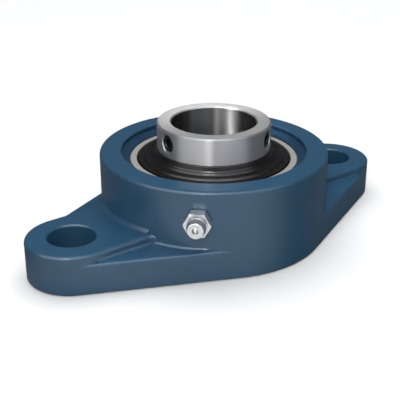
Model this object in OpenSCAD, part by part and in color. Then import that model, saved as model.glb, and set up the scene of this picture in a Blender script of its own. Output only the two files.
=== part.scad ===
// Two-bolt flange bearing unit: a cast housing with an insert ball bearing.
// Millimetres. The mounting face lies on z = 0, the shaft axis is Z and the two
// bolt holes lie along X.

/* [Housing] */
// Distance between the two bolt holes
bolt_span = 117; // [105:0.5:130]
// Diameter of each bolt hole
bolt_hole_d = 16; // [12:0.5:18]
// Radius of the round end around each bolt hole
lug_r = 15.4; // [13:0.1:17]
// Wall of the round boss outside the ball-shaped seat
boss_wall = 9.2; // [7.5:0.1:12]
// Height of the boss rim above the top of the seat
rim_rise = 2.9; // [2.4:0.1:5]
// Height of the raised pads around the bolt holes
pad_h = 13.9; // [12.5:0.1:16]
// Thickness of the flange plate beside the pads
plate_t = 10.8; // [9:0.1:12]
// Rounding of the boss rim
boss_round = 1.2; // [0.8:0.1:2.2]
// Rounding of the top edges of the pads and the plate
edge_round = 1.3; // [0.6:0.1:1.8]
// Rounding of the lower edge round the mounting face
base_round = 0.8; // [0.4:0.1:1]
// Hollow corner between a pad and the boss, seen from above
corner_fillet = 3; // [2:0.25:4]
// Hollow corner where a pad's top meets the boss
pad_fillet = 2; // [1:0.1:3]
// Hollow corner at the foot of the boss and pads in the low areas
foot_fillet = 1.2; // [0.6:0.1:1.5]
// Ledge between the seat and the wall of the open front, on the radius
mouth_ledge = 1.6; // [1.2:0.1:3]
// Depth of the shadow groove just under the rim of the mouth
mouth_groove = 0.6; // [0.3:0.1:1]
// Ledge between the seat and the wall of the hollow back, on the radius
back_ledge = 0.5; // [0.3:0.1:2]

/* [Bearing] */
// Diameter of the shaft
shaft_d = 30; // [25:0.5:31]
// Height of the middle of the balls above the mounting face
seat_h = 19; // [18:0.25:20]
// Wall of the inner ring
ring_wall = 5; // [4.5:0.1:5.5]
// Height of the bearing's section, from the inner ring to the ball-shaped outside
section_h = 11; // [10.5:0.1:12]
// Width of the outer ring
outer_w = 18; // [17:0.25:18.5]
// Length of the inner ring above the middle of the balls
inner_up = 22.2; // [21:0.1:24]
// Length of the inner ring below the middle of the balls
inner_down = 15.9; // [15:0.1:16.5]
// Diameter of one ball
ball_d = 9.525; // [8.5:0.125:9.75]
// Number of balls
ball_n = 9; // [9:1:9]
// Play between the outer ring and its seat, on the radius
seat_play = 0.03; // [0.01:0.01:0.08]
// Play of a ball against each track, on the radius
ball_play = 0.01; // [0.005:0.005:0.03]

/* [Seals] */
// Thickness of the outer ring outside the seals, measured to the ball-shaped outside
seal_wall = 3.7; // [3.3:0.1:4]
// Depth of a seal's steel plate below the outer ring's face
seal_depth = 0.9; // [0.7:0.1:1.4]
// Thickness of a seal's steel plate
seal_t = 0.8; // [0.5:0.1:1]
// Play of the rubber lip on the inner ring, on the radius
lip_play = 0.04; // [0.02:0.01:0.08]
// Gap between the slinger disc and the outer ring, on the radius
slinger_gap = 0.7; // [0.5:0.1:1.2]
// Wall of the slinger disc
slinger_t = 0.6; // [0.5:0.05:0.8]

/* [Locking screws] */
// Thread diameter of the locking screws
screw_d = 6; // [5:0.5:6]
// Length of a locking screw
screw_len = 4.4; // [4:0.1:4.6]
// Distance from the bore to the inner end of a locking screw
screw_in = 0.15; // [0.1:0.05:0.3]
// Height of the locking screws below the top of the inner ring
screw_drop = 4.5; // [4:0.1:5]
// Direction midway between the two locking screws
screw_mid_deg = -120.5; // [-180:0.5:0]
// Angle between the two locking screws
screw_gap_deg = 120; // [60:1:120]
// Width across the flats of the screw's socket
socket_af = 3; // [2.5:0.25:3]

/* [Grease nipple] */
// Height of the grease nipple above the middle of the balls
nipple_rise = 2.2; // [1.5:0.1:3]
// Direction of the grease nipple
nipple_deg = -135; // [-160:1:-110]
// Width across the flats of its hexagon
nipple_af = 8; // [7:0.25:9]
// Height of its hexagon
nipple_hex_h = 3.7; // [3:0.1:4.5]
// Length of its round head beyond the hexagon
nipple_head_h = 3.8; // [3.4:0.1:4.4]
// Diameter of its thread
nipple_thread_d = 6; // [5:0.25:6]
// Diameter of its check ball
check_d = 2.5; // [2.3:0.05:2.6]

/* [Hidden] */
$fn = 96;

// Sizes that follow from the shaft outward
inner_d = shaft_d + 2 * ring_wall;
outer_ball_d = inner_d + 2 * section_h;
boss_d = outer_ball_d + 2 * boss_wall;
mouth_d = outer_ball_d + 2 * mouth_ledge;
back_hollow_d = outer_ball_d + 2 * back_ledge;

// Housing values
boss_r = boss_d / 2;
lug_x = bolt_span / 2;
seat_r = outer_ball_d / 2 + seat_play;
// The straight flanks touch the boss circle and the lug circle; flank_deg is
// the direction of their outward normal and flank_len their length.
flank_deg = acos((boss_r - lug_r) / lug_x);
flank_len = sqrt(lug_x * lug_x - (boss_r - lug_r) * (boss_r - lug_r));
seat_top = seat_h + outer_w / 2 + 0.2;
seat_low = seat_h - outer_w / 2 - 0.4;
boss_h = seat_top + rim_rise;
nipple_h = seat_h + nipple_rise;
seat_low_r = sqrt(seat_r * seat_r - (seat_h - seat_low) * (seat_h - seat_low));
seat_top_r = sqrt(seat_r * seat_r - (seat_top - seat_h) * (seat_top - seat_h));
groove_w = 5.2;
groove_depth = 1;
groove_r = seat_r + groove_depth;
slot_play = 0.3;
hole_edge = 0.5;
// A straight side lies this far inside the round ends that it joins, so that
// the two cross cleanly where they would otherwise only touch.
nip = 0.02;
sink = 0.03;

// Bearing values
ball_r = ball_d / 2;
pitch_r = (shaft_d / 2 + outer_ball_d / 2) / 2;
track_r = ball_r * 1.04;
outer_track_r = pitch_r + ball_r + ball_play;
inner_track_r = pitch_r - ball_r - ball_play;
seal_r = outer_ball_d / 2 - seal_wall;
outer_land_r = seal_r - 1;
ring_edge = 0.35;
bore_edge = 0.45;
rim_edge = 0.5;
inner_r = inner_d / 2;
inner_top = seat_h + inner_up;
inner_low = seat_h - inner_down;
oil_hole_d = 1.6;
oil_hole_rise = nipple_rise + 2.2;

// Cage values
cage_in = inner_r + 1;
cage_out = outer_land_r - 1.1;
pocket_r = ball_r + 0.2;
cage_low = pocket_r + 0.65;
cage_base = cage_low / 2.3;
cage_up = pocket_r / 1.9;
cage_slot_w = ball_r / 1.6;

// Seal values, measured outward from the middle of the balls
face = outer_w / 2;
plate_out = face - seal_depth;
plate_in = plate_out - seal_t;
lip_join_r = inner_r + 2.6;
lip_back_r = lip_join_r + 1.4;
slinger_r = seal_r - slinger_gap;
slinger_foot = face - 0.15;
slinger_rise = 4.1;

// Locking screw values
screw_h = inner_top - screw_drop;
screw_out = shaft_d / 2 + screw_in + screw_len;

// Nipple values, measured from the shaft axis along the nipple
spot_r = boss_r - 0.3;
collar_h = 0.6;
hex_low = spot_r + collar_h;
hex_top = hex_low + nipple_hex_h;
tip = hex_top + nipple_head_h;
head_r = 3.2;
neck_r = 2.6;
face_r = 2.5;
check_r = check_d / 2;
chamber_r = check_r + 0.05;
mouth_r = check_r - 0.2;
check_sink = 0.25;
check_reach = sqrt(check_r * check_r - mouth_r * mouth_r);
check_at = tip - check_sink - check_r;
shoulder = check_at + check_reach + 0.02;
chamber_low = hex_low + 0.4;
duct_r = 0.9;
shank_low = groove_r + 0.6;
wire_r = 0.15;
coil_r = chamber_r - 0.3;
coil_turns = 6;

// A wall profile: w wide, h high, edge at x = 0, top outer corner rounded by r
// and lower outer corner by base_round.
module wall_profile(w, h, r) {
  translate([-w, 0]) square([w - base_round, h - r]);
  translate([-w, base_round]) square([w, h - r - base_round]);
  translate([-w, base_round]) square([w - r, h - base_round]);
  translate([-r, h - r]) circle(r);
  translate([-base_round, base_round]) circle(base_round);
}

// A round post with a rounded top edge and a rounded lower edge.
module rounded_post(post_r, h, r) {
  rotate_extrude()
    intersection() {
      translate([post_r, 0]) wall_profile(post_r + 1, h, r);
      square([post_r, h]);
    }
}

// The hollow corner section between a wall at x = 0 and a floor at y = 0. Its
// arc is set a little into both, so that it crosses them where it would
// otherwise only touch.
module hollow_corner(r) {
  root = 0.3;
  difference() {
    translate([-root, -root]) square(r + root - sink / 2);
    translate([r - sink, r - sink]) circle(r);
  }
}

// Both ends along X.
module both_ends() {
  children();
  mirror([1, 0, 0]) children();
}

// Both sides along Y.
module both_sides() {
  children();
  mirror([0, 1, 0]) children();
}

// Turns a shape drawn for the front of the bearing to its back.
module at_back() {
  translate([0, 0, seat_h]) mirror([0, 0, 1]) children();
}

// Moves a shape drawn from the middle of the balls to the front.
module at_front() {
  translate([0, 0, seat_h]) children();
}

// One straight flank of the plate, with its rounded top edge.
module flank() {
  rotate([0, 0, flank_deg])
    translate([boss_r - nip, 0, 0])
      rotate([90, 0, 0])
        linear_extrude(flank_len) wall_profile(lug_r + 3, plate_t, edge_round);
}

// The flat middle of the plate between the flanks.
module plate_middle() {
  reach = boss_r - lug_r;
  linear_extrude(plate_t)
    polygon([[lug_x, 0], [reach * cos(flank_deg), reach * sin(flank_deg)], [0, 0],
      [reach * cos(flank_deg), -reach * sin(flank_deg)]]);
}

// The raised pad round one bolt hole and its run up to the boss.
module pad() {
  translate([lug_x, 0, 0]) rounded_post(lug_r, pad_h, edge_round);
  both_sides()
    translate([boss_r / 2, lug_r - nip, 0])
      rotate([90, 0, 90])
        linear_extrude(lug_x - boss_r / 2) wall_profile(lug_r, pad_h, edge_round);
}

// The hollow upright corner between a pad's side and the boss, whose top edge
// is rounded like the pad's.
module pad_corner() {
  cy = lug_r + corner_fillet;
  far = boss_r + corner_fillet;
  cx = sqrt(far * far - cy * cy);
  inside = (boss_r - 3) / far;
  intersection() {
    translate([cx, cy, 0])
      rotate_extrude() {
        translate([corner_fillet + edge_round, 0]) square([6, pad_h]);
        translate([corner_fillet, 0]) square([6, pad_h - edge_round]);
        translate([corner_fillet + edge_round, pad_h - edge_round]) circle(edge_round);
      }
    linear_extrude(pad_h + 1)
      polygon([[cx, cy], [cx, lug_r - 3], [cx * inside, lug_r - 3], [cx * inside, cy * inside]]);
  }
}

// The hollow corner where the pad's top meets the boss.
module pad_top_fillet() {
  half = lug_r - edge_round;
  intersection() {
    translate([0, 0, pad_h])
      rotate_extrude() translate([boss_r, 0]) hollow_corner(pad_fillet);
    translate([0, -half, pad_h - 1]) cube([lug_x, 2 * half, pad_fillet + 2]);
  }
}

// The space over one low area, up to where the plate's edge starts to round.
module pocket_space() {
  inset = boss_r - edge_round;
  run = [sin(flank_deg), -cos(flank_deg)];
  out = [cos(flank_deg), sin(flank_deg)] * inset;
  translate([0, 0, plate_t - 0.1])
    linear_extrude(foot_fillet + 0.2)
      polygon([out - run * boss_r / 4, out + run * (flank_len - 1), [lug_x - 1, lug_r - 0.5],
        [0, lug_r - 0.5], [0, inset]]);
}

// The hollow corners at the foot of the boss and of the pad in one low area.
module pocket_fillets() {
  intersection() {
    translate([0, 0, plate_t])
      rotate_extrude() translate([boss_r, 0]) hollow_corner(foot_fillet);
    pocket_space();
  }
  intersection() {
    translate([boss_r / 2, lug_r, plate_t])
      rotate([90, 0, 90]) linear_extrude(lug_x - boss_r / 2) hollow_corner(foot_fillet);
    pocket_space();
  }
}

// What the mouth, the seat, the hollow back and the loading slots take away.
module housing_cuts() {
  // Ball-shaped seat
  intersection() {
    translate([0, 0, seat_h]) sphere(seat_r);
    translate([0, 0, seat_low - 0.5]) cylinder(h = seat_top - seat_low + 1, r = seat_r + 1);
  }
  // Mouth, shadow groove and hollow back
  rotate_extrude()
    polygon([[0, seat_top], [seat_top_r + 0.4, seat_top], [mouth_d / 2 - 0.6, boss_h - 1.6],
      [mouth_d / 2 + mouth_groove, boss_h - 1.5], [mouth_d / 2 + mouth_groove, boss_h - 0.8],
      [mouth_d / 2, boss_h - 0.7], [mouth_d / 2, boss_h - 0.3],
      [mouth_d / 2 + 0.3, boss_h + 0.01], [mouth_d / 2 + 0.3, boss_h + 1], [0, boss_h + 1]]);
  rotate_extrude()
    polygon([[0, seat_low], [seat_low_r, seat_low], [back_hollow_d / 2, seat_low - 1.2],
      [back_hollow_d / 2, 0.5], [back_hollow_d / 2 + 0.5, 0], [back_hollow_d / 2 + 0.5, -1], [0, -1]]);
  // Grease groove round the seat
  translate([0, 0, nipple_h - groove_w / 2]) cylinder(h = groove_w, r = groove_r);
  // Two loading slots that let the bearing in edgewise from the back
  intersection() {
    translate([0, 0, -1]) linear_extrude(seat_h + 1)
      square([2 * seat_r + 0.3, outer_w + 2 * slot_play], center = true);
    translate([0, 0, -1]) cylinder(h = seat_h + 1, r = seat_r + 0.15);
  }
}

// Everything that points along the nipple is drawn along +X and turned here.
module along_nipple() {
  translate([0, 0, nipple_h]) rotate([0, 0, nipple_deg]) rotate([0, 90, 0]) children();
}

module housing() {
  color("steelblue")
    difference() {
      union() {
        rounded_post(boss_r, boss_h, boss_round);
        both_ends() {
          both_sides() {
            flank();
            pad_corner();
            pocket_fillets();
          }
          plate_middle();
          pad();
          pad_top_fillet();
        }
      }
      housing_cuts();
      both_ends()
        translate([lug_x, 0, 0]) {
          translate([0, 0, -1]) cylinder(h = pad_h + 2, d = bolt_hole_d);
          translate([0, 0, pad_h - hole_edge])
            cylinder(h = hole_edge + 0.01, d1 = bolt_hole_d, d2 = bolt_hole_d + 2 * hole_edge + 0.02);
        }
      along_nipple() {
        translate([0, 0, seat_r - 1]) cylinder(h = boss_r, d = nipple_thread_d);
        translate([0, 0, spot_r]) cylinder(h = boss_wall, d = nipple_af + 0.6);
      }
    }
}

module outer_ring() {
  color("gainsboro")
    translate([0, 0, seat_h])
      difference() {
        intersection() {
          sphere(outer_ball_d / 2);
          cylinder(h = outer_w, r = outer_ball_d, center = true);
          rim_r = sqrt(outer_ball_d * outer_ball_d / 4 - outer_w * outer_w / 4);
          rotate_extrude()
            polygon([[0, -face], [rim_r - ring_edge, -face], [rim_r + 2, -face + ring_edge + 2],
              [rim_r + 2, face - ring_edge - 2], [rim_r - ring_edge, face], [0, face]]);
        }
        cylinder(h = outer_w + 2, r = outer_land_r, center = true);
        rotate_extrude()
          translate([outer_track_r - track_r, 0]) circle(track_r);
        for (side = [0, 1])
          mirror([0, 0, side])
            translate([0, 0, plate_in]) cylinder(h = outer_w, r = seal_r);
        for (turn = [0, 180])
          rotate([0, 0, turn + nipple_deg])
            translate([0, 0, oil_hole_rise]) rotate([0, 90, 0]) cylinder(h = outer_ball_d, d = oil_hole_d);
      }
}

module inner_ring() {
  bore_r = shaft_d / 2;
  color("silver")
    difference() {
      rotate_extrude()
        polygon([[bore_r, inner_low + bore_edge], [bore_r + bore_edge, inner_low],
          [inner_r - rim_edge, inner_low], [inner_r, inner_low + rim_edge],
          [inner_r, inner_top - rim_edge], [inner_r - rim_edge, inner_top],
          [bore_r + bore_edge, inner_top], [bore_r, inner_top - bore_edge]]);
      translate([0, 0, seat_h])
        rotate_extrude()
          translate([inner_track_r + track_r, 0]) circle(track_r);
      for (side = [-1, 1])
        rotate([0, 0, screw_mid_deg + side * screw_gap_deg / 2])
          translate([0, 0, screw_h])
            rotate([0, 90, 0]) {
              translate([0, 0, bore_r - 3]) cylinder(h = inner_d, d = screw_d);
              translate([0, 0, inner_r - 0.45])
                cylinder(h = 2, d1 = screw_d, d2 = screw_d + 4);
            }
    }
}

// A snap cage: a ring with a round pocket for each ball, whose mouth is
// narrower than the ball, and a slot between each two pockets.
module cage() {
  slot_foot = cage_slot_w / 2 - cage_low + cage_base;
  color("burlywood")
    translate([0, 0, seat_h])
      difference() {
        rotate_extrude()
          translate([cage_in, -cage_low]) square([cage_out - cage_in, cage_low + cage_up]);
        for (i = [0:ball_n - 1])
          rotate([0, 0, i * 360 / ball_n]) {
            translate([pitch_r, 0, 0]) sphere(pocket_r);
            rotate([0, 0, 180 / ball_n]) {
              translate([cage_in - 1, 0, slot_foot])
                rotate([0, 90, 0]) cylinder(h = cage_out - cage_in + 3, d = cage_slot_w);
              translate([cage_in - 1, -cage_slot_w / 2, slot_foot])
                cube([cage_out - cage_in + 3, cage_slot_w, cage_low + cage_up]);
            }
          }
      }
}

module ball(i) {
  color("lightgray")
    rotate([0, 0, (i - 1) * 360 / ball_n])
      translate([pitch_r, 0, seat_h]) sphere(ball_r);
}

// The seals and the slinger are drawn outward from the middle of the balls.

module seal_plate() {
  color("dimgray")
    rotate_extrude()
      polygon([[lip_join_r, plate_in], [seal_r, plate_in], [seal_r, plate_out],
        [seal_r - 1.2, plate_out], [seal_r - 1.6, plate_out - 0.15], [lip_join_r, plate_out - 0.15]]);
}

module seal_lip() {
  touch = inner_r + lip_play;
  color("black")
    rotate_extrude()
      polygon([[touch, plate_in - 0.1], [touch + 0.35, plate_in - 0.55], [touch + 1.1, plate_in - 0.2],
        [lip_join_r - 0.4, plate_in - 0.6], [lip_back_r, plate_in - 0.6], [lip_back_r, plate_in],
        [lip_join_r, plate_in], [lip_join_r, plate_out - 0.15], [touch + 1.2, plate_out - 0.15],
        [touch + 0.5, plate_out - 0.3], [touch, plate_in + 0.35]]);
}

// A stepped disc pressed on the inner ring: a hub at the ring, one fine ridge,
// one broad rounded ridge and a flat outer band. Each point is a share of the
// disc's width and a share of the hub's height, less the wall on the underside.
module slinger() {
  wide = slinger_r - inner_r;
  over = [[0, 1], [0.106, 1], [0.159, 0.646], [0.212, 0.549], [0.28, 0.537], [0.333, 0.415],
    [0.47, 0.293], [0.561, 0.305], [0.644, 0.28], [0.72, 0.207], [0.78, 0.122], [1, 0.122]];
  under = [[1, 0.122], [0.735, 0.122], [0.652, 0.256], [0.561, 0.293], [0.455, 0.28], [0.303, 0.39],
    [0.227, 0.488], [0.152, 0.488]];
  foot = slinger_foot + slinger_t;
  color("black")
    rotate_extrude()
      polygon(concat(
        [for (p = over) [inner_r + wide * p[0], slinger_foot + slinger_rise * p[1]]],
        [for (p = under) [inner_r + wide * p[0], slinger_foot + slinger_rise * p[1] - slinger_t]],
        [[inner_r + slinger_t, foot], [inner_r, foot]]));
}

module seal_front_plate() {
  at_front() seal_plate();
}

module seal_front_lip() {
  at_front() seal_lip();
}

module seal_back_plate() {
  at_back() seal_plate();
}

module seal_back_lip() {
  at_back() seal_lip();
}

module slinger_front() {
  at_front() slinger();
}

module slinger_back() {
  at_back() slinger();
}

module screw(side) {
  low = shaft_d / 2 + screw_in;
  cup = 0.7;
  socket_deep = screw_len * 0.5;
  color("black")
    rotate([0, 0, screw_mid_deg + side * screw_gap_deg / 2])
      translate([0, 0, screw_h])
        rotate([0, 90, 0])
          difference() {
            rotate_extrude()
              polygon([[0, low + 0.5], [0.9, low], [screw_d / 2 - cup, low], [screw_d / 2, low + cup],
                [screw_d / 2, screw_out - 0.4], [screw_d / 2 - 0.4, screw_out], [0, screw_out]]);
            translate([0, 0, screw_out - socket_deep])
              rotate([0, 0, 30]) cylinder(h = socket_deep + 1, r = socket_af / sqrt(3), $fn = 6);
            translate([0, 0, screw_out - 0.4])
              cylinder(h = 0.8, d1 = socket_af - 0.1, d2 = socket_af + 1.5);
          }
}

module screw_1() {
  screw(-1);
}

module screw_2() {
  screw(1);
}

module nipple_body() {
  color("whitesmoke")
    along_nipple()
      difference() {
        union() {
          translate([0, 0, shank_low]) cylinder(h = hex_low - shank_low, d = nipple_thread_d);
          translate([0, 0, spot_r]) cylinder(h = collar_h, r = nipple_af / 2 - 0.2);
          intersection() {
            translate([0, 0, hex_low])
              rotate([0, 0, 30]) cylinder(h = nipple_hex_h, r = nipple_af / sqrt(3), $fn = 6);
            rotate_extrude()
              polygon([[0, hex_low], [nipple_af / 2 + 0.1, hex_low], [nipple_af / 2 + 0.9, hex_low + 0.45],
                [nipple_af / 2 + 0.9, hex_top - 0.45], [nipple_af / 2 + 0.1, hex_top], [0, hex_top]]);
          }
          rotate_extrude()
            polygon([[0, hex_top - 0.2], [neck_r + 0.3, hex_top - 0.2], [neck_r, hex_top + 0.5],
              [head_r - 0.2, hex_top + 1.1], [head_r, hex_top + 1.4], [head_r - 0.1, hex_top + 1.9],
              [face_r + 0.15, tip - 0.15], [face_r - 0.05, tip], [0, tip]]);
        }
        translate([0, 0, chamber_low]) cylinder(h = shoulder - chamber_low, r = chamber_r);
        translate([0, 0, shoulder - 0.01]) cylinder(h = 5, r = mouth_r);
        translate([0, 0, shank_low - 1]) cylinder(h = chamber_low - shank_low + 1.1, r = duct_r);
      }
}

module nipple_ball() {
  color("silver")
    along_nipple() translate([0, 0, check_at]) sphere(check_r);
}

// Point k of the spring's centre line, which climbs coil_turns turns.
function coil_point(k, steps, low, high) =
  [coil_r * cos(360 * coil_turns * k / steps), coil_r * sin(360 * coil_turns * k / steps),
    low + (high - low) * k / steps];

module nipple_spring() {
  sides = 6;
  steps = 12 * coil_turns;
  low = chamber_low + wire_r + 0.02;
  high = check_at - sqrt(check_r * check_r - coil_r * coil_r) - wire_r - 0.12;
  points = [for (k = [0:steps]) for (j = [0:sides - 1])
    let (p = coil_point(k, steps, low, high), a = 360 * coil_turns * k / steps, b = 360 * j / sides)
      [p[0] + wire_r * cos(b) * cos(a), p[1] + wire_r * cos(b) * sin(a), p[2] + wire_r * sin(b)]];
  faces = concat(
    [[for (j = [0:sides - 1]) j]],
    [for (k = [0:steps - 1]) for (j = [0:sides - 1])
      let (n = (j + 1) % sides)
        [k * sides + j, (k + 1) * sides + j, (k + 1) * sides + n, k * sides + n]],
    [[for (j = [0:sides - 1]) steps * sides + sides - 1 - j]]);
  color("silver")
    along_nipple() polyhedron(points = points, faces = faces, convexity = 8);
}

housing();
outer_ring();
inner_ring();
cage();
ball(1);  // ball_1
ball(2);  // ball_2
ball(3);  // ball_3
ball(4);  // ball_4
ball(5);  // ball_5
ball(6);  // ball_6
ball(7);  // ball_7
ball(8);  // ball_8
ball(9);  // ball_9
seal_front_plate();
seal_front_lip();
seal_back_plate();
seal_back_lip();
slinger_front();
slinger_back();
screw_1();
screw_2();
nipple_body();
nipple_ball();
nipple_spring();
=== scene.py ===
"""Looks for a two-bolt flange bearing unit: painted cast housing, ground steel rings, black slingers,
locking screws and a grease nipple, on a pale studio floor."""
import math

import bmesh
import bpy
import numpy as np
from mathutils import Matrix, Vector


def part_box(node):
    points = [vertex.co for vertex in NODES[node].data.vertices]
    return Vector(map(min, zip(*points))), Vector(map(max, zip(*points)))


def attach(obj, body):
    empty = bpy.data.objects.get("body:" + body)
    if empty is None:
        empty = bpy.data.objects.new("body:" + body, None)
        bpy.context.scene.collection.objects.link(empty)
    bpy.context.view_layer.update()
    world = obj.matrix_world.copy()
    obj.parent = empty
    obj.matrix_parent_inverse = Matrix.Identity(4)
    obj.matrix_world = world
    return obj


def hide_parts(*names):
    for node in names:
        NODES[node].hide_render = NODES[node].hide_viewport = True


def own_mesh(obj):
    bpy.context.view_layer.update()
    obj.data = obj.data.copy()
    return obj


bl_info = {
    "name": "Flange bearing unit",
    "version": (1, 0, 0),
    "blender": (4, 5, 0),
    "location": "View3D > Sidebar > Bearing",
    "description": "Builds the finished surfaces of a two-bolt flange bearing unit",
    "category": "Object",
}

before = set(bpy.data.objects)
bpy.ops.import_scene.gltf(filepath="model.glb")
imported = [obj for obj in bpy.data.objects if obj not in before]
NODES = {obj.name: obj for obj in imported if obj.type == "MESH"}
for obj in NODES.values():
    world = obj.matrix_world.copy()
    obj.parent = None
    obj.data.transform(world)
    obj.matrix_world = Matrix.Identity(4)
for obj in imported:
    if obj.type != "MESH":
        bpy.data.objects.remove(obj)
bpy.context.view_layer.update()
MM = 0.001

# The height of the middle of the balls and the outer radius of the inner ring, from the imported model, in
# metres.
SEAT_H = sum(corner.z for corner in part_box("ball_1")) / 2
RING_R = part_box("inner_ring")[1].y

# Where a finish ends on a piece, in mm: the bore, the wall of the boss's mouth and the foot of that wall.
# Inside the mouth and the bore the colour is darkened as painted shade.
BORE_R = 15.0
MOUTH_R = 32.6
MOUTH_LOW = 27.0

# The level direction in which the nipple's check ball is pressed in.
NIPPLE_INWARD = (math.sqrt(0.5), math.sqrt(0.5), 0.0)

# The slinger's upper side, as shares of its width and its rise, with the share of the rounding at each
# corner: a hub on the ring, one fine ridge, one broad ridge and a flat outer band. The lower side follows a
# wall below.
SLINGER_OVER = ((0.0, 1.0, 0), (0.1, 1.0, 0.8), (0.155, 0.63, 0.8), (0.2, 0.5, 0.5), (0.27, 0.54, 0.5),
                (0.34, 0.36, 1.5), (0.46, 0.25, 2), (0.55, 0.36, 2), (0.66, 0.34, 2), (0.76, 0.15, 2),
                (0.81, 0.125, 1), (1.0, 0.125, 0.4), (1.0, 0.0, 0.4))
SLINGER_UNDER = ((0.735, 0.0), (0.652, 0.11), (0.561, 0.147), (0.455, 0.134), (0.303, 0.244), (0.227, 0.342),
                 (0.152, 0.342))
SLINGER_WALL = 0.6

# A noise's values lie mostly between these two, so this part of it is stretched over a finish's own range.
NOISE_RANGE = {"From Min": 0.3, "From Max": 0.7}

# The soft lamps: name, place, what each is turned to, width and height in metres, watts, colour, and whether
# only the bare surface or only its gloss catches the light, or both. The overhead and front lamps light the
# unit, the key draws the bright line down the ring, the strips fill the gloss of the walls, and the lamp over
# the rims that of the rounded edges.
LAMPS = (
    ("lamp_overhead", (0.3, 0.35, 1.5), (0.0, 0.0, 0.0), (1.8, 1.8), 20.0, "#FFFFFF", "surface"),
    ("lamp_front", (-0.35, -0.82, 0.45), (0.0, 0.0, 0.02), (0.5, 0.4), 0.55, "#FFF2E4", "surface"),
    ("lamp_key", (-0.48, -0.45, 0.42), (0.0, 0.0, 0.02), (0.07, 0.2), 1.7, "#FFFFFF", "both"),
    ("lamp_strip_left", (-0.95, -0.16, 0.62), (0.0, 0.0, 0.03), (1.3, 1.1), 12.0, "#FFFFFF", "gloss"),
    ("lamp_strip_right", (0.0, -0.95, 0.62), (0.0, 0.0, 0.03), (1.3, 1.1), 7.5, "#EEF2FF", "gloss"),
    ("lamp_rims", (-0.25, -0.33, 0.95), (0.0, 0.0, 0.03), (0.9, 0.5), 4.0, "#FFFFFF", "gloss"),
)

# The narrow lamp that shines down into the bore: its place, the spot on the bore's far wall and its cone.
BORE_LAMP_PLACE = (-0.32, 0.053, 0.43)
BORE_LAMP_AIM = (0.0133, 0.0069, 0.029)
BORE_LAMP_CONE_DEG = 2.2

# The white card that lies on the floor before the unit, for the gloss alone: the level direction in which it
# lies from the shaft, and how far out it fades in, in metres. It has the shape of a fan that starts at the
# apex, and fades out to both sides between the cosines of two angles from its own direction.
CARD_WAY = (-0.62, -0.785, 0.0)
CARD_APEX = (-0.0155, -0.0196, 0.0)
CARD_NEAR = 0.018
CARD_FAR = 0.040
CARD_EDGE = 0.15
CARD_FULL = 0.75

# The camera's place and line of sight, fitted to the rims in the photograph.
CAMERA_PLACE = (-0.17821, -0.22525, 0.13965)
CAMERA_WAY = (0.55383, 0.72476, -0.40987)


def linear(hex_colour):
    """An sRGB hex colour as linear RGBA, by the sRGB curve: a low straight part, then a power of 2.4."""
    values = [int(hex_colour[i:i + 2], 16) / 255 for i in (1, 3, 5)]
    return [v / 12.92 if v <= 0.04045 else ((v + 0.055) / 1.055) ** 2.4 for v in values] + [1.0]


def lighter(hex_colour, levels):
    """The hex colour with each of its channels raised by some of the 255 levels."""
    return "#" + "".join(f"{min(255, int(hex_colour[i:i + 2], 16) + levels):02X}" for i in (1, 3, 5))


def add_node(tree, kind, inputs=None, **settings):
    """Adds one shader node. Settings are its properties. An input is linked if it is a socket, and set if
    not."""
    made = tree.nodes.new(kind)
    for name, value in settings.items():
        setattr(made, name, value)
    for name, value in (inputs or {}).items():
        if isinstance(value, bpy.types.NodeSocket):
            tree.links.new(value, made.inputs[name])
        else:
            made.inputs[name].default_value = value
    return made


def new_material(name):
    """An empty node material, as (material, tree, output, Object coordinates)."""
    material = bpy.data.materials.new(name)
    material.use_nodes = True
    tree = material.node_tree
    tree.nodes.clear()
    output = tree.nodes.new("ShaderNodeOutputMaterial")
    return material, tree, output, add_node(tree, "ShaderNodeTexCoord").outputs["Object"]


def give_material(piece, material):
    """Puts one material on every face of a piece."""
    piece.data.materials.clear()
    piece.data.materials.append(material)


def finish_mesh(mesh, angle_deg):
    """Shades a mesh smooth, with sharp edges where two faces meet at more than the angle."""
    mesh.shade_smooth()
    mesh.set_sharp_from_angle(angle=math.radians(angle_deg))
    mesh.update()


def place_piece(mesh, body, node):
    """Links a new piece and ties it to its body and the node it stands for."""
    piece = bpy.data.objects.new(mesh.name, mesh)
    bpy.context.scene.collection.objects.link(piece)
    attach(piece, body)
    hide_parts(node)
    return piece


def corner_normals(mesh, angle_deg):
    """Gives each face corner the mean normal of the faces round its point, weighted by their areas and left
    out where they lean from the corner's own face by more than the angle. Flats then shade flat, and the
    turn of an edge stays inside its rounding. All pairs of corners that share a point are listed at once:
    the corners in the order of their points, each as many times as its point has corners, each time beside
    the next corner of that point."""
    faces, corners = len(mesh.polygons), len(mesh.loops)
    normal, area, sides = np.zeros(faces * 3), np.zeros(faces), np.zeros(faces, dtype=np.int64)
    point = np.zeros(corners, dtype=np.int64)
    mesh.polygons.foreach_get("normal", normal)
    mesh.polygons.foreach_get("area", area)
    mesh.polygons.foreach_get("loop_total", sides)
    mesh.loops.foreach_get("vertex_index", point)
    normal = normal.reshape(-1, 3)
    face = np.repeat(np.arange(faces), sides)
    order = np.argsort(point, kind="stable")
    sharing = np.bincount(point)
    first_place = (np.cumsum(sharing) - sharing)[point[order]]
    times = sharing[point[order]]
    turn = np.arange(times.sum()) - np.repeat(np.cumsum(times) - times, times)
    corner = np.repeat(order, times)
    own, other = face[corner], face[order[np.repeat(first_place, times) + turn]]
    near = (normal[own] * normal[other]).sum(1) > math.cos(math.radians(angle_deg))
    weight = area[other] * near
    mean = np.stack([np.bincount(corner, normal[other, axis] * weight, corners) for axis in range(3)], 1)
    length = np.linalg.norm(mean, axis=1, keepdims=True)
    mesh.normals_split_custom_set((mean / np.maximum(length, 1e-20)).tolist())


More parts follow.
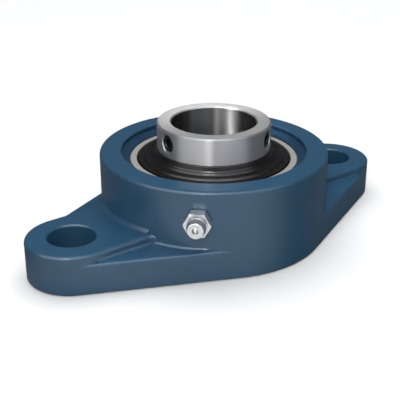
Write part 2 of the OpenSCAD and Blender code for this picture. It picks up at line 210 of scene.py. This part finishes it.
def merged_copy(node, name, angle_deg):
    """A copy of a CAD node's mesh with its doubled points merged, shaded smooth up to the angle."""
    mesh = bpy.data.meshes.new(name)
    work = bmesh.new()
    work.from_mesh(NODES[node].data)
    bmesh.ops.remove_doubles(work, verts=work.verts, dist=0.002 * MM)
    work.to_mesh(mesh)
    work.free()
    finish_mesh(mesh, angle_deg)
    corner_normals(mesh, angle_deg)
    return mesh


def mark_faces(mesh, slot, test):
    """Moves the faces that pass a test to another material slot. The test gets the distance of each face's
    middle from the Z axis and its height in mm, and the shares of its normal along Z and out from the
    axis."""
    count = len(mesh.polygons)
    middle, normal = np.zeros(count * 3), np.zeros(count * 3)
    mesh.polygons.foreach_get("center", middle)
    mesh.polygons.foreach_get("normal", normal)
    middle, normal = middle.reshape(-1, 3) / MM, normal.reshape(-1, 3)
    radius = np.hypot(middle[:, 0], middle[:, 1])
    outward = (middle[:, :2] * normal[:, :2]).sum(1) / np.maximum(radius, 1e-6)
    slots = np.zeros(count, dtype=np.int32)
    mesh.polygons.foreach_get("material_index", slots)
    slots[test(radius, middle[:, 2], normal[:, 2], outward)] = slot
    mesh.polygons.foreach_set("material_index", slots)


def eased(corners, steps=5):
    """A closed profile with its corners rounded. A corner is (radius, height, rounding): the rounding is an
    arc tangent to both sides, set off from them by a short straight guard that keeps the flats' shading
    flat."""
    points = np.array([corner[:2] for corner in corners], float)
    out = []
    for k, (_, _, rounding) in enumerate(corners):
        here, before, after = points[k], points[k - 1], points[(k + 1) % len(points)]
        if rounding <= 0:
            out.append(here)
            continue
        a = (before - here) / np.linalg.norm(before - here)
        b = (after - here) / np.linalg.norm(after - here)
        half = math.acos(max(-1, min(1, float(a @ b)))) / 2
        cut = rounding / math.tan(half)
        middle = here + (a + b) / np.linalg.norm(a + b) * rounding / math.sin(half)
        first, last = here + a * cut - middle, here + b * cut - middle
        turn = math.copysign(1, first[0] * last[1] - first[1] * last[0])
        angles = np.linspace(0, math.pi - 2 * half, steps + 1) * turn
        cos, sin = np.cos(angles), np.sin(angles)
        arc = np.stack([first[0] * cos - first[1] * sin, first[0] * sin + first[1] * cos], 1) + middle
        out += [here + a * cut * 1.15, *arc, here + b * cut * 1.15]
    return np.array(out)


def turned_mesh(name, profile, turns, angle_deg):
    """Turns a profile of (radius, height) in mm about Z. Point j at step i is (r cos a, r sin a, z), where a
    is i full turns over the number of steps and r is the profile's radius. A profile that goes anticlockwise
    gives faces that point outwards."""
    profile = np.asarray(profile, float)
    count = len(profile)
    a = (np.arange(turns) * 2 * math.pi / turns)[:, None]
    radius, height = profile[:, 0], profile[:, 1] + 0 * a
    grid = np.stack([radius * np.cos(a), radius * np.sin(a), height], 2) * MM
    i, j = np.meshgrid(np.arange(turns), np.arange(count), indexing="ij")
    i2, j2 = (i + 1) % turns, (j + 1) % count
    faces = np.stack([i * count + j, i2 * count + j, i2 * count + j2, i * count + j2], 2).reshape(-1, 4)
    mesh = bpy.data.meshes.new(name)
    mesh.from_pydata(grid.reshape(-1, 3).tolist(), [], faces.tolist())
    finish_mesh(mesh, angle_deg)
    return mesh


def machine_enamel(name, thin_hex, thick_hex):
    """Blue machine enamel, sprayed on sand-cast iron. To the eye it is an even satin skin, in which the
    sand's grain is left as a slow swell about 9 mm across, and the spray as an orange peel about 0.8 mm
    across."""
    material, tree, output, coords = new_material(name)
    swell = add_node(tree, "ShaderNodeTexNoise", {"Vector": coords, "Scale": 1 / (9.0 * MM)}).outputs["Fac"]
    peel = add_node(tree, "ShaderNodeTexNoise", {
        "Vector": coords, "Scale": 1 / (0.8 * MM), "Detail": 3.0}).outputs["Fac"]
    thickness = add_node(tree, "ShaderNodeMapRange", {**NOISE_RANGE, "Value": swell})
    tone = add_node(tree, "ShaderNodeMix", {
        0: thickness.outputs[0], 6: linear(thin_hex), 7: linear(thick_hex)}, data_type="RGBA")
    satin = add_node(tree, "ShaderNodeMapRange", {
        **NOISE_RANGE, "Value": peel, "To Min": 0.29, "To Max": 0.33})
    fine = add_node(tree, "ShaderNodeBump", {"Strength": 0.2, "Distance": 0.005 * MM, "Height": peel})
    skin = add_node(tree, "ShaderNodeBump", {
        "Strength": 0.4, "Distance": 0.06 * MM, "Height": swell, "Normal": fine.outputs[0]})
    shader = add_node(tree, "ShaderNodeBsdfPrincipled", {
        "Base Color": tone.outputs[2], "Roughness": satin.outputs[0], "IOR": 1.5,
        "Specular IOR Level": 0.6, "Normal": skin.outputs[0]})
    tree.links.new(shader.outputs[0], output.inputs[0])
    return material


def ground_steel(name, colour_hex, roughness, lift=6, anisotropy=0.0, metallic=1.0):
    """Bearing steel finished on a grinder, turned all the way round: a clean grey metal with fine lines round
    the axis, which draw a highlight out across them, along the axis on a wall and outwards on a face. The
    lines are noise read at (distance from the axis, height), so they close after a turn. They are drawn
    0.35 mm apart, because the real 0.02 mm is too fine to show."""
    material, tree, output, coords = new_material(name)
    parts = add_node(tree, "ShaderNodeSeparateXYZ", {"Vector": coords})
    flat = add_node(tree, "ShaderNodeCombineXYZ", {"X": parts.outputs["X"], "Y": parts.outputs["Y"]})
    out = add_node(tree, "ShaderNodeVectorMath", {0: flat.outputs[0]}, operation="LENGTH")
    line = add_node(tree, "ShaderNodeCombineXYZ", {"X": out.outputs["Value"], "Z": parts.outputs["Z"]})
    lines = add_node(tree, "ShaderNodeTexNoise", {
        "Vector": line.outputs[0], "Scale": 1 / (0.35 * MM), "Detail": 3.0, "Roughness": 0.6}).outputs["Fac"]
    haze = add_node(tree, "ShaderNodeTexNoise", {"Vector": coords, "Scale": 1 / (6.0 * MM)}).outputs["Fac"]
    share = add_node(tree, "ShaderNodeMapRange", {**NOISE_RANGE, "Value": lines})
    tone = add_node(tree, "ShaderNodeMix", {
        0: share.outputs[0], 6: linear(colour_hex), 7: linear(lighter(colour_hex, lift))}, data_type="RGBA")
    rough = add_node(tree, "ShaderNodeMapRange", {
        **NOISE_RANGE, "Value": haze, "To Min": roughness - 0.02, "To Max": roughness + 0.02})
    bump = add_node(tree, "ShaderNodeBump", {"Strength": 0.15, "Distance": 0.003 * MM, "Height": lines})
    around = add_node(tree, "ShaderNodeTangent", direction_type="RADIAL", axis="Z")
    shader = add_node(tree, "ShaderNodeBsdfPrincipled", {
        "Base Color": tone.outputs[2], "Metallic": metallic, "Roughness": rough.outputs[0],
        "Anisotropic": anisotropy, "Anisotropic Rotation": 0.25, "Tangent": around.outputs[0],
        "Normal": bump.outputs[0]})
    tree.links.new(shader.outputs[0], output.inputs[0])
    return material


def dark_skin(name, low_hex, high_hex, roughness, metallic=0.0):
    """A dark skin, moulded in rubber or nylon or left by black oxide on steel: cloudy, with patches about
    5 mm across, and a soft gloss. Its grain is drawn 0.3 mm across, because the real 0.05 mm is too fine to
    show."""
    material, tree, output, coords = new_material(name)
    cloud = add_node(tree, "ShaderNodeTexNoise", {"Vector": coords, "Scale": 1 / (5.0 * MM)}).outputs["Fac"]
    grain = add_node(tree, "ShaderNodeTexNoise", {"Vector": coords, "Scale": 1 / (0.3 * MM)}).outputs["Fac"]
    share = add_node(tree, "ShaderNodeMapRange", {**NOISE_RANGE, "Value": cloud})
    tone = add_node(tree, "ShaderNodeMix", {
        0: share.outputs[0], 6: linear(low_hex), 7: linear(high_hex)}, data_type="RGBA")
    rough = add_node(tree, "ShaderNodeMapRange", {
        **NOISE_RANGE, "Value": grain, "To Min": roughness - 0.04, "To Max": roughness + 0.04})
    bump = add_node(tree, "ShaderNodeBump", {"Strength": 0.15, "Distance": 0.005 * MM, "Height": grain})
    shader = add_node(tree, "ShaderNodeBsdfPrincipled", {
        "Base Color": tone.outputs[2], "Metallic": metallic, "Roughness": rough.outputs[0],
        "Normal": bump.outputs[0]})
    tree.links.new(shader.outputs[0], output.inputs[0])
    return material


def bright_zinc(colour_hex):
    """Bright zinc plate on turned steel: a light grey metal and a soft mirror, with the faint clouds of the
    plating bath, about 1.2 mm across."""
    material, tree, output, coords = new_material("bright_zinc_plate")
    cloud = add_node(tree, "ShaderNodeTexNoise", {"Vector": coords, "Scale": 1 / (1.2 * MM)}).outputs["Fac"]
    share = add_node(tree, "ShaderNodeMapRange", {**NOISE_RANGE, "Value": cloud})
    tone = add_node(tree, "ShaderNodeMix", {
        0: share.outputs[0], 6: linear(colour_hex), 7: linear(lighter(colour_hex, 18))}, data_type="RGBA")
    rough = add_node(tree, "ShaderNodeMapRange", {
        **NOISE_RANGE, "Value": cloud, "To Min": 0.27, "To Max": 0.33})
    bump = add_node(tree, "ShaderNodeBump", {"Strength": 0.15, "Distance": 0.01 * MM, "Height": cloud})
    shader = add_node(tree, "ShaderNodeBsdfPrincipled", {
        "Base Color": tone.outputs[2], "Metallic": 0.85, "Roughness": rough.outputs[0],
        "Normal": bump.outputs[0]})
    tree.links.new(shader.outputs[0], output.inputs[0])
    return material


def filled_nylon():
    """Glass-filled nylon, moulded: a dull cream plastic. Its fibres are drawn 0.4 mm across, because the real
    0.01 mm is too fine to show."""
    material, tree, output, coords = new_material("glass_filled_nylon")
    fibre = add_node(tree, "ShaderNodeTexNoise", {
        "Vector": coords, "Scale": 1 / (0.4 * MM), "Detail": 4.0}).outputs["Fac"]
    share = add_node(tree, "ShaderNodeMapRange", {**NOISE_RANGE, "Value": fibre})
    tone = add_node(tree, "ShaderNodeMix", {
        0: share.outputs[0], 6: linear("#B9A67C"), 7: linear("#CDBD95")}, data_type="RGBA")
    shader = add_node(tree, "ShaderNodeBsdfPrincipled", {
        "Base Color": tone.outputs[2], "Roughness": 0.55, "IOR": 1.53})
    tree.links.new(shader.outputs[0], output.inputs[0])
    return material


class CastingSettings(bpy.types.PropertyGroup):
    """Colours and shading of the painted casting."""

    thick_hex: bpy.props.StringProperty(
        name="Paint", description="Colour of the enamel where it lies thick", default="#28506C")
    thin_hex: bpy.props.StringProperty(
        name="Thin paint", description="Colour of the enamel where it lies thin", default="#264C68")
    # The mouth's colour is painted shade. The enamel on the wall and ledge inside the boss's mouth is drawn
    # darker to stand for the shade in that recess.
    mouth_shade_hex: bpy.props.StringProperty(
        name="Mouth paint", description="Colour of the thin enamel inside the boss's mouth",
        default="#183852")
    sharp_deg: bpy.props.FloatProperty(
        name="Sharp edges", description="Faces that meet at more than this many degrees stay sharp",
        default=28.0)


class SteelSettings(bpy.types.PropertyGroup):
    """Colours of the bare steel."""

    wall_hex: bpy.props.StringProperty(
        name="Ring wall", description="Colour of the inner ring's ground outside", default="#A8A8AA")
    face_hex: bpy.props.StringProperty(
        name="Ring face", description="Colour of the inner ring's turned ends", default="#AEAEAE")
    # The bore's grey is painted shade. The honed steel is the same as the ring's outside, drawn darker to
    # stand for the shade inside the hollow bore.
    bore_shade_hex: bpy.props.StringProperty(
        name="Bore", description="Colour of the inner ring's honed bore", default="#6C6C6C")
    outer_hex: bpy.props.StringProperty(
        name="Outer ring", description="Colour of the outer ring's ground face", default="#C4C1BC")
    zinc_hex: bpy.props.StringProperty(
        name="Zinc", description="Colour of the grease nipple's zinc plate", default="#BEC0C2")


class SlingerSettings(bpy.types.PropertyGroup):
    """Form and colour of the slinger discs."""

    ease_mm: bpy.props.FloatProperty(
        name="Ease", description="Rounding of the stepped disc's corners, in mm", default=0.35, min=0.0)
    skin_hex: bpy.props.StringProperty(
        name="Skin", description="Colour of the moulded skin", default="#151312")
    cloud_hex: bpy.props.StringProperty(
        name="Clouds", description="Colour of the lighter clouds in the skin", default="#1C1A18")


class StageSettings(bpy.types.PropertyGroup):
    """Camera and light of the studio."""

    lens: bpy.props.FloatProperty(
        name="Lens", description="Focal length on a 36 mm sensor", default=77.97, subtype="DISTANCE_CAMERA")
    surround: bpy.props.FloatProperty(
        name="Surround", description="Strength of the studio's even light", default=0.55)
    surround_mirrored: bpy.props.FloatProperty(
        name="Surround in the gloss", description="Strength of the studio as the pieces mirror it",
        default=0.1)
    floor_hex: bpy.props.StringProperty(
        name="Floor", description="Colour of the studio floor", default="#F4F4F4")
    bounce_hex: bpy.props.StringProperty(
        name="Floor bounce", description="Colour of the floor as it lights the pieces", default="#8A8884")
    card_hex: bpy.props.StringProperty(
        name="Card", description="Colour of the card before the unit, as the pieces mirror it",
        default="#FAFAFA")
    beyond_hex: bpy.props.StringProperty(
        name="Beyond the card", description="Colour of the floor beyond the card, as the pieces mirror it",
        default="#5C5D5E")


class CastHousing(bpy.types.Operator):
    """Painted casting, from the housing's own form with its edges shaded smooth"""

    bl_idname = "bearing.cast_housing"
    bl_label = "Cast housing"

    def execute(self, context):
        settings = context.scene.bearing_casting
        mesh = merged_copy("housing", "housing_casting", settings.sharp_deg)
        piece = place_piece(mesh, "housing", "housing")
        give_material(piece, machine_enamel(
            "blue_machine_enamel_on_cast_iron", settings.thin_hex, settings.thick_hex))
        # The second enamel is painted shade: it is darker on the mouth's wall and ledge, where the recess
        # lies in shade.
        mesh.materials.append(machine_enamel(
            "painted_shade_in_the_mouth", settings.mouth_shade_hex, lighter(settings.mouth_shade_hex, 4)))
        mark_faces(mesh, 1, lambda radius, height, up, out: (radius < MOUTH_R + 0.05) & (height > MOUTH_LOW))
        return {"FINISHED"}


class InnerRing(bpy.types.Operator):
    """Extended inner ring with its two screw holes: ground outside, turned ends and a honed bore"""

    bl_idname = "bearing.inner_ring"
    bl_label = "Inner ring"

    def execute(self, context):
        settings = context.scene.bearing_steel
        mesh = merged_copy("inner_ring", "inner_ring_ground", 30)
        piece = place_piece(mesh, "shaft_ring", "inner_ring")
        give_material(piece, ground_steel(
            "ground_bearing_steel", settings.wall_hex, 0.44, anisotropy=0.95, metallic=0.7))
        mesh.materials.append(ground_steel("turned_ring_face", settings.face_hex, 0.5, metallic=0.5))
        # The bore takes a darker grey than the ring's outside, as painted shade inside the hollow. Its honed
        # lines and gloss are its own finish.
        mesh.materials.append(ground_steel(
            "honed_ring_bore_painted_shade", settings.bore_shade_hex, 0.36, lift=8, anisotropy=0.95))
        mark_faces(mesh, 1, lambda radius, height, up, out: np.abs(up) > 0.98)
        mark_faces(mesh, 2, lambda radius, height, up, out: (radius < BORE_R + 0.1) & (out < -0.9))
        return {"FINISHED"}


class OuterRing(bpy.types.Operator):
    """Outer ring with its ball-shaped outside and ground face"""

    bl_idname = "bearing.outer_ring"
    bl_label = "Outer ring"

    def execute(self, context):
        mesh = merged_copy("outer_ring", "outer_ring_ground", 30)
        piece = place_piece(mesh, "outer_ring", "outer_ring")
        give_material(piece, ground_steel(
            "fine_ground_ring_face", context.scene.bearing_steel.outer_hex, 0.45, metallic=0.5))
        return {"FINISHED"}


class RollingParts(bpy.types.Operator):
    """Finish of the balls, the cage, the seals and the nipple's check ball, on their own solids"""

    bl_idname = "bearing.rolling_parts"
    bl_label = "Balls, cage and seals"

    def execute(self, context):
        polished = ground_steel("polished_ball_steel", "#BDBDBD", 0.08, lift=18)
        pressed = ground_steel("pressed_seal_plate", "#4A4A4A", 0.4, lift=16)
        rubber = dark_skin("nitrile_rubber_lip", "#0E0E0E", "#161616", 0.6)
        finishes = {"cage": filled_nylon(), "nipple_ball": polished}
        finishes.update({name: polished for name in NODES if name.startswith("ball_")})
        finishes.update({name: pressed for name in NODES if name.endswith("_plate")})
        finishes.update({name: rubber for name in NODES if name.endswith("_lip")})
        for name, material in finishes.items():
            give_material(NODES[name], material)
        return {"FINISHED"}


class Slingers(bpy.types.Operator):
    """The two black slinger discs on the inner ring"""

    bl_idname = "bearing.slingers"
    bl_label = "Slingers"

    def execute(self, context):
        settings = context.scene.bearing_slinger
        skin = dark_skin("black_moulded_slinger", settings.skin_hex, settings.cloud_hex, 0.3)
        inner = RING_R / MM
        for node in ("slinger_front", "slinger_back"):
            low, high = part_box(node)
            front = high.z > SEAT_H
            foot, top = (low.z / MM, high.z / MM) if front else (high.z / MM, low.z / MM)
            wide, rise = high.y / MM - inner, top - foot
            rib = foot + SLINGER_WALL if front else foot - SLINGER_WALL
            over = [(inner + wide * a, foot + rise * b, settings.ease_mm * c) for a, b, c in SLINGER_OVER]
            under = [(inner + wide * a, foot + rise * b, 0) for a, b in SLINGER_UNDER]
            profile = eased(over + under + [(inner + SLINGER_WALL, rib, 0), (inner, rib, 0)])
            mesh = turned_mesh(node + "_disc", profile[::-1] if front else profile, 240, 50)
            give_material(place_piece(mesh, "shaft_ring", node), skin)
        return {"FINISHED"}


class LockingScrews(bpy.types.Operator):
    """The two black locking screws with hexagon sockets"""

    bl_idname = "bearing.locking_screws"
    bl_label = "Locking screws"

    def execute(self, context):
        oxide = dark_skin("black_oxide_steel", "#141516", "#202122", 0.38, metallic=0.4)
        for node in ("screw_1", "screw_2"):
            give_material(NODES[node], oxide)
        return {"FINISHED"}


class GreaseNipple(bpy.types.Operator):
    """The zinc-plated grease nipple on the boss, and its spring"""

    bl_idname = "bearing.grease_nipple"
    bl_label = "Grease nipple"

    def execute(self, context):
        mesh = merged_copy("nipple_body", "nipple_body_plated", 30)
        piece = place_piece(mesh, "housing", "nipple_body")
        give_material(piece, bright_zinc(context.scene.bearing_steel.zinc_hex))

        mesh = merged_copy("nipple_spring", "nipple_spring_wire", 40)
        spring = place_piece(mesh, "housing", "nipple_spring")
        give_material(spring, ground_steel("drawn_spring_wire", "#8A8A8A", 0.3, lift=16))
        points = np.zeros(len(mesh.vertices) * 3)
        mesh.vertices.foreach_get("co", points)
        points, inward = points.reshape(-1, 3), np.array(NIPPLE_INWARD)
        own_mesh(spring)
        return {"FINISHED"}


def link_to_scene(name, data, place=(0.0, 0.0, 0.0), way=None):
    """Links a lamp, camera or mesh at a place, looking along a direction if there is one."""
    holder = bpy.data.objects.new(name, data)
    holder.location = place
    if way is not None:
        holder.rotation_euler = Vector(way).to_track_quat("-Z", "Y").to_euler()
    bpy.context.scene.collection.objects.link(holder)
    return holder


def hang_surround(settings):
    """The studio's walls: white where the camera looks past the unit, an even light on every surface, and
    nearly dark in the gloss, so that the paint and the steel mirror the lamps and the floor alone."""
    world = bpy.data.worlds.new("studio_surround")
    world.use_nodes = True
    tree = world.node_tree
    tree.nodes.clear()
    ray = add_node(tree, "ShaderNodeLightPath")
    even = add_node(tree, "ShaderNodeBackground", {"Color": linear("#F2F4F6"), "Strength": settings.surround})
    mirrored = add_node(tree, "ShaderNodeBackground", {
        "Color": linear("#E8ECF0"), "Strength": settings.surround_mirrored})
    backdrop = add_node(tree, "ShaderNodeBackground", {"Color": linear("#FFFFFF"), "Strength": 1.0})
    lit = add_node(tree, "ShaderNodeMixShader", {
        0: ray.outputs["Is Glossy Ray"], 1: even.outputs[0], 2: mirrored.outputs[0]})
    seen = add_node(tree, "ShaderNodeMixShader", {
        0: ray.outputs["Is Camera Ray"], 1: lit.outputs[0], 2: backdrop.outputs[0]})
    add_node(tree, "ShaderNodeOutputWorld", {"Surface": seen.outputs[0]})
    bpy.context.scene.world = world


def lay_floor(settings):
    """A pale matt floor just under the unit. It is itself where it is seen, dimmer where its light falls back
    on the unit, and in the gloss it is a grey floor with a white card that lies before the unit."""
    half, low = 6.0, -0.1 * MM
    mesh = bpy.data.meshes.new("studio_floor")
    mesh.from_pydata([(-half, -half, low), (half, -half, low), (half, half, low), (-half, half, low)],
                     [], [(0, 1, 2, 3)])
    floor = link_to_scene("studio_floor", mesh)
    material, tree, output, coords = new_material("pale_studio_floor")
    grain = add_node(tree, "ShaderNodeTexNoise", {"Vector": coords, "Scale": 1 / (40.0 * MM)}).outputs["Fac"]
    tone = add_node(tree, "ShaderNodeMix", {
        0: grain, 6: linear(settings.floor_hex), 7: linear(lighter(settings.floor_hex, 3))}, data_type="RGBA")
    bare = add_node(tree, "ShaderNodeBsdfPrincipled", {"Base Color": tone.outputs[2], "Roughness": 0.7})
    dim = add_node(tree, "ShaderNodeBsdfDiffuse", {"Color": linear(settings.bounce_hex)})
    out = add_node(tree, "ShaderNodeVectorMath", {0: coords, 1: CARD_WAY}, operation="DOT_PRODUCT")
    near = add_node(tree, "ShaderNodeMapRange", {
        "Value": out.outputs["Value"], "From Min": CARD_NEAR, "From Max": CARD_FAR})
    aside = add_node(tree, "ShaderNodeVectorMath", {0: coords, 1: CARD_APEX}, operation="SUBTRACT")
    unit = add_node(tree, "ShaderNodeVectorMath", {0: aside.outputs[0]}, operation="NORMALIZE")
    cosine = add_node(
        tree, "ShaderNodeVectorMath", {0: unit.outputs[0], 1: CARD_WAY}, operation="DOT_PRODUCT")
    fan = add_node(tree, "ShaderNodeMapRange", {
        "Value": cosine.outputs["Value"], "From Min": CARD_EDGE, "From Max": CARD_FULL})
    laid = add_node(tree, "ShaderNodeMath", {0: near.outputs[0], 1: fan.outputs[0]}, operation="MULTIPLY")
    shown = add_node(tree, "ShaderNodeMix", {
        0: laid.outputs[0], 6: linear(settings.beyond_hex), 7: linear(settings.card_hex)}, data_type="RGBA")
    card = add_node(tree, "ShaderNodeBsdfDiffuse", {"Color": shown.outputs[2]})
    ray = add_node(tree, "ShaderNodeLightPath")
    lit = add_node(tree, "ShaderNodeMixShader", {
        0: ray.outputs["Is Glossy Ray"], 1: dim.outputs[0], 2: card.outputs[0]})
    seen = add_node(tree, "ShaderNodeMixShader", {
        0: ray.outputs["Is Camera Ray"], 1: lit.outputs[0], 2: bare.outputs[0]})
    tree.links.new(seen.outputs[0], output.inputs[0])
    give_material(floor, material)


def hang_lamps():
    """The soft lamps, and the narrow one that draws the bright line down the bore."""
    for name, place, aim, size, power, colour, catches in LAMPS:
        lamp = bpy.data.lights.new(name, "AREA")
        lamp.shape = "RECTANGLE"
        lamp.size, lamp.size_y = size
        lamp.energy = power
        lamp.color = linear(colour)[:3]
        holder = link_to_scene(name, lamp, place, Vector(aim) - Vector(place))
        holder.visible_glossy = catches != "surface"
        holder.visible_diffuse = catches != "gloss"
    beam = bpy.data.lights.new("lamp_bore", "SPOT")
    beam.energy = 55.0
    beam.spot_size = math.radians(BORE_LAMP_CONE_DEG)
    beam.spot_blend = 0.3
    beam.shadow_soft_size = 0.012
    link_to_scene("lamp_bore", beam, BORE_LAMP_PLACE, Vector(BORE_LAMP_AIM) - Vector(BORE_LAMP_PLACE))


def set_camera(settings):
    """The camera at the photograph's angle."""
    camera = bpy.data.cameras.new("photo_camera")
    camera.sensor_width = 36.0
    camera.lens = settings.lens
    camera.clip_start = 0.01
    camera.clip_end = 50.0
    bpy.context.scene.camera = link_to_scene("photo_camera", camera, CAMERA_PLACE, CAMERA_WAY)


class Studio(bpy.types.Operator):
    """Pale floor, soft lamps and the camera at the photograph's angle"""

    bl_idname = "bearing.studio"
    bl_label = "Studio"

    def execute(self, context):
        settings = context.scene.bearing_stage
        context.scene.view_settings.view_transform = "Standard"
        hang_surround(settings)
        lay_floor(settings)
        hang_lamps()
        set_camera(settings)
        return {"FINISHED"}


class BearingPanel(bpy.types.Panel):
    """Lists the pieces of the bearing unit"""

    bl_idname = "BEARING_PT_pieces"
    bl_label = "Flange bearing unit"
    bl_space_type = "VIEW_3D"
    bl_region_type = "UI"
    bl_category = "Bearing"

    def draw(self, context):
        for step in STEPS:
            self.layout.operator(step.bl_idname)
        for group in GROUPS:
            settings = getattr(context.scene, group)
            for name in settings.__annotations__:
                self.layout.prop(settings, name)


STEPS = (CastHousing, InnerRing, OuterRing, RollingParts, Slingers, LockingScrews, GreaseNipple, Studio)
GROUPS = {"bearing_casting": CastingSettings, "bearing_steel": SteelSettings,
          "bearing_slinger": SlingerSettings, "bearing_stage": StageSettings}


def register():
    """Registers the settings, the operators and the panel."""
    for kind in (*GROUPS.values(), *STEPS, BearingPanel):
        bpy.utils.register_class(kind)
    for name, kind in GROUPS.items():
        setattr(bpy.types.Scene, name, bpy.props.PointerProperty(type=kind))


def unregister():
    """Takes away what register added."""
    for name in GROUPS:
        delattr(bpy.types.Scene, name)
    for kind in (BearingPanel, *reversed(STEPS), *reversed(list(GROUPS.values()))):
        bpy.utils.unregister_class(kind)


def main():
    """Builds the whole scene."""
    register()
    for step in STEPS:
        area, name = step.bl_idname.split(".")
        getattr(getattr(bpy.ops, area), name)()


if __name__ == "__main__":
    main()
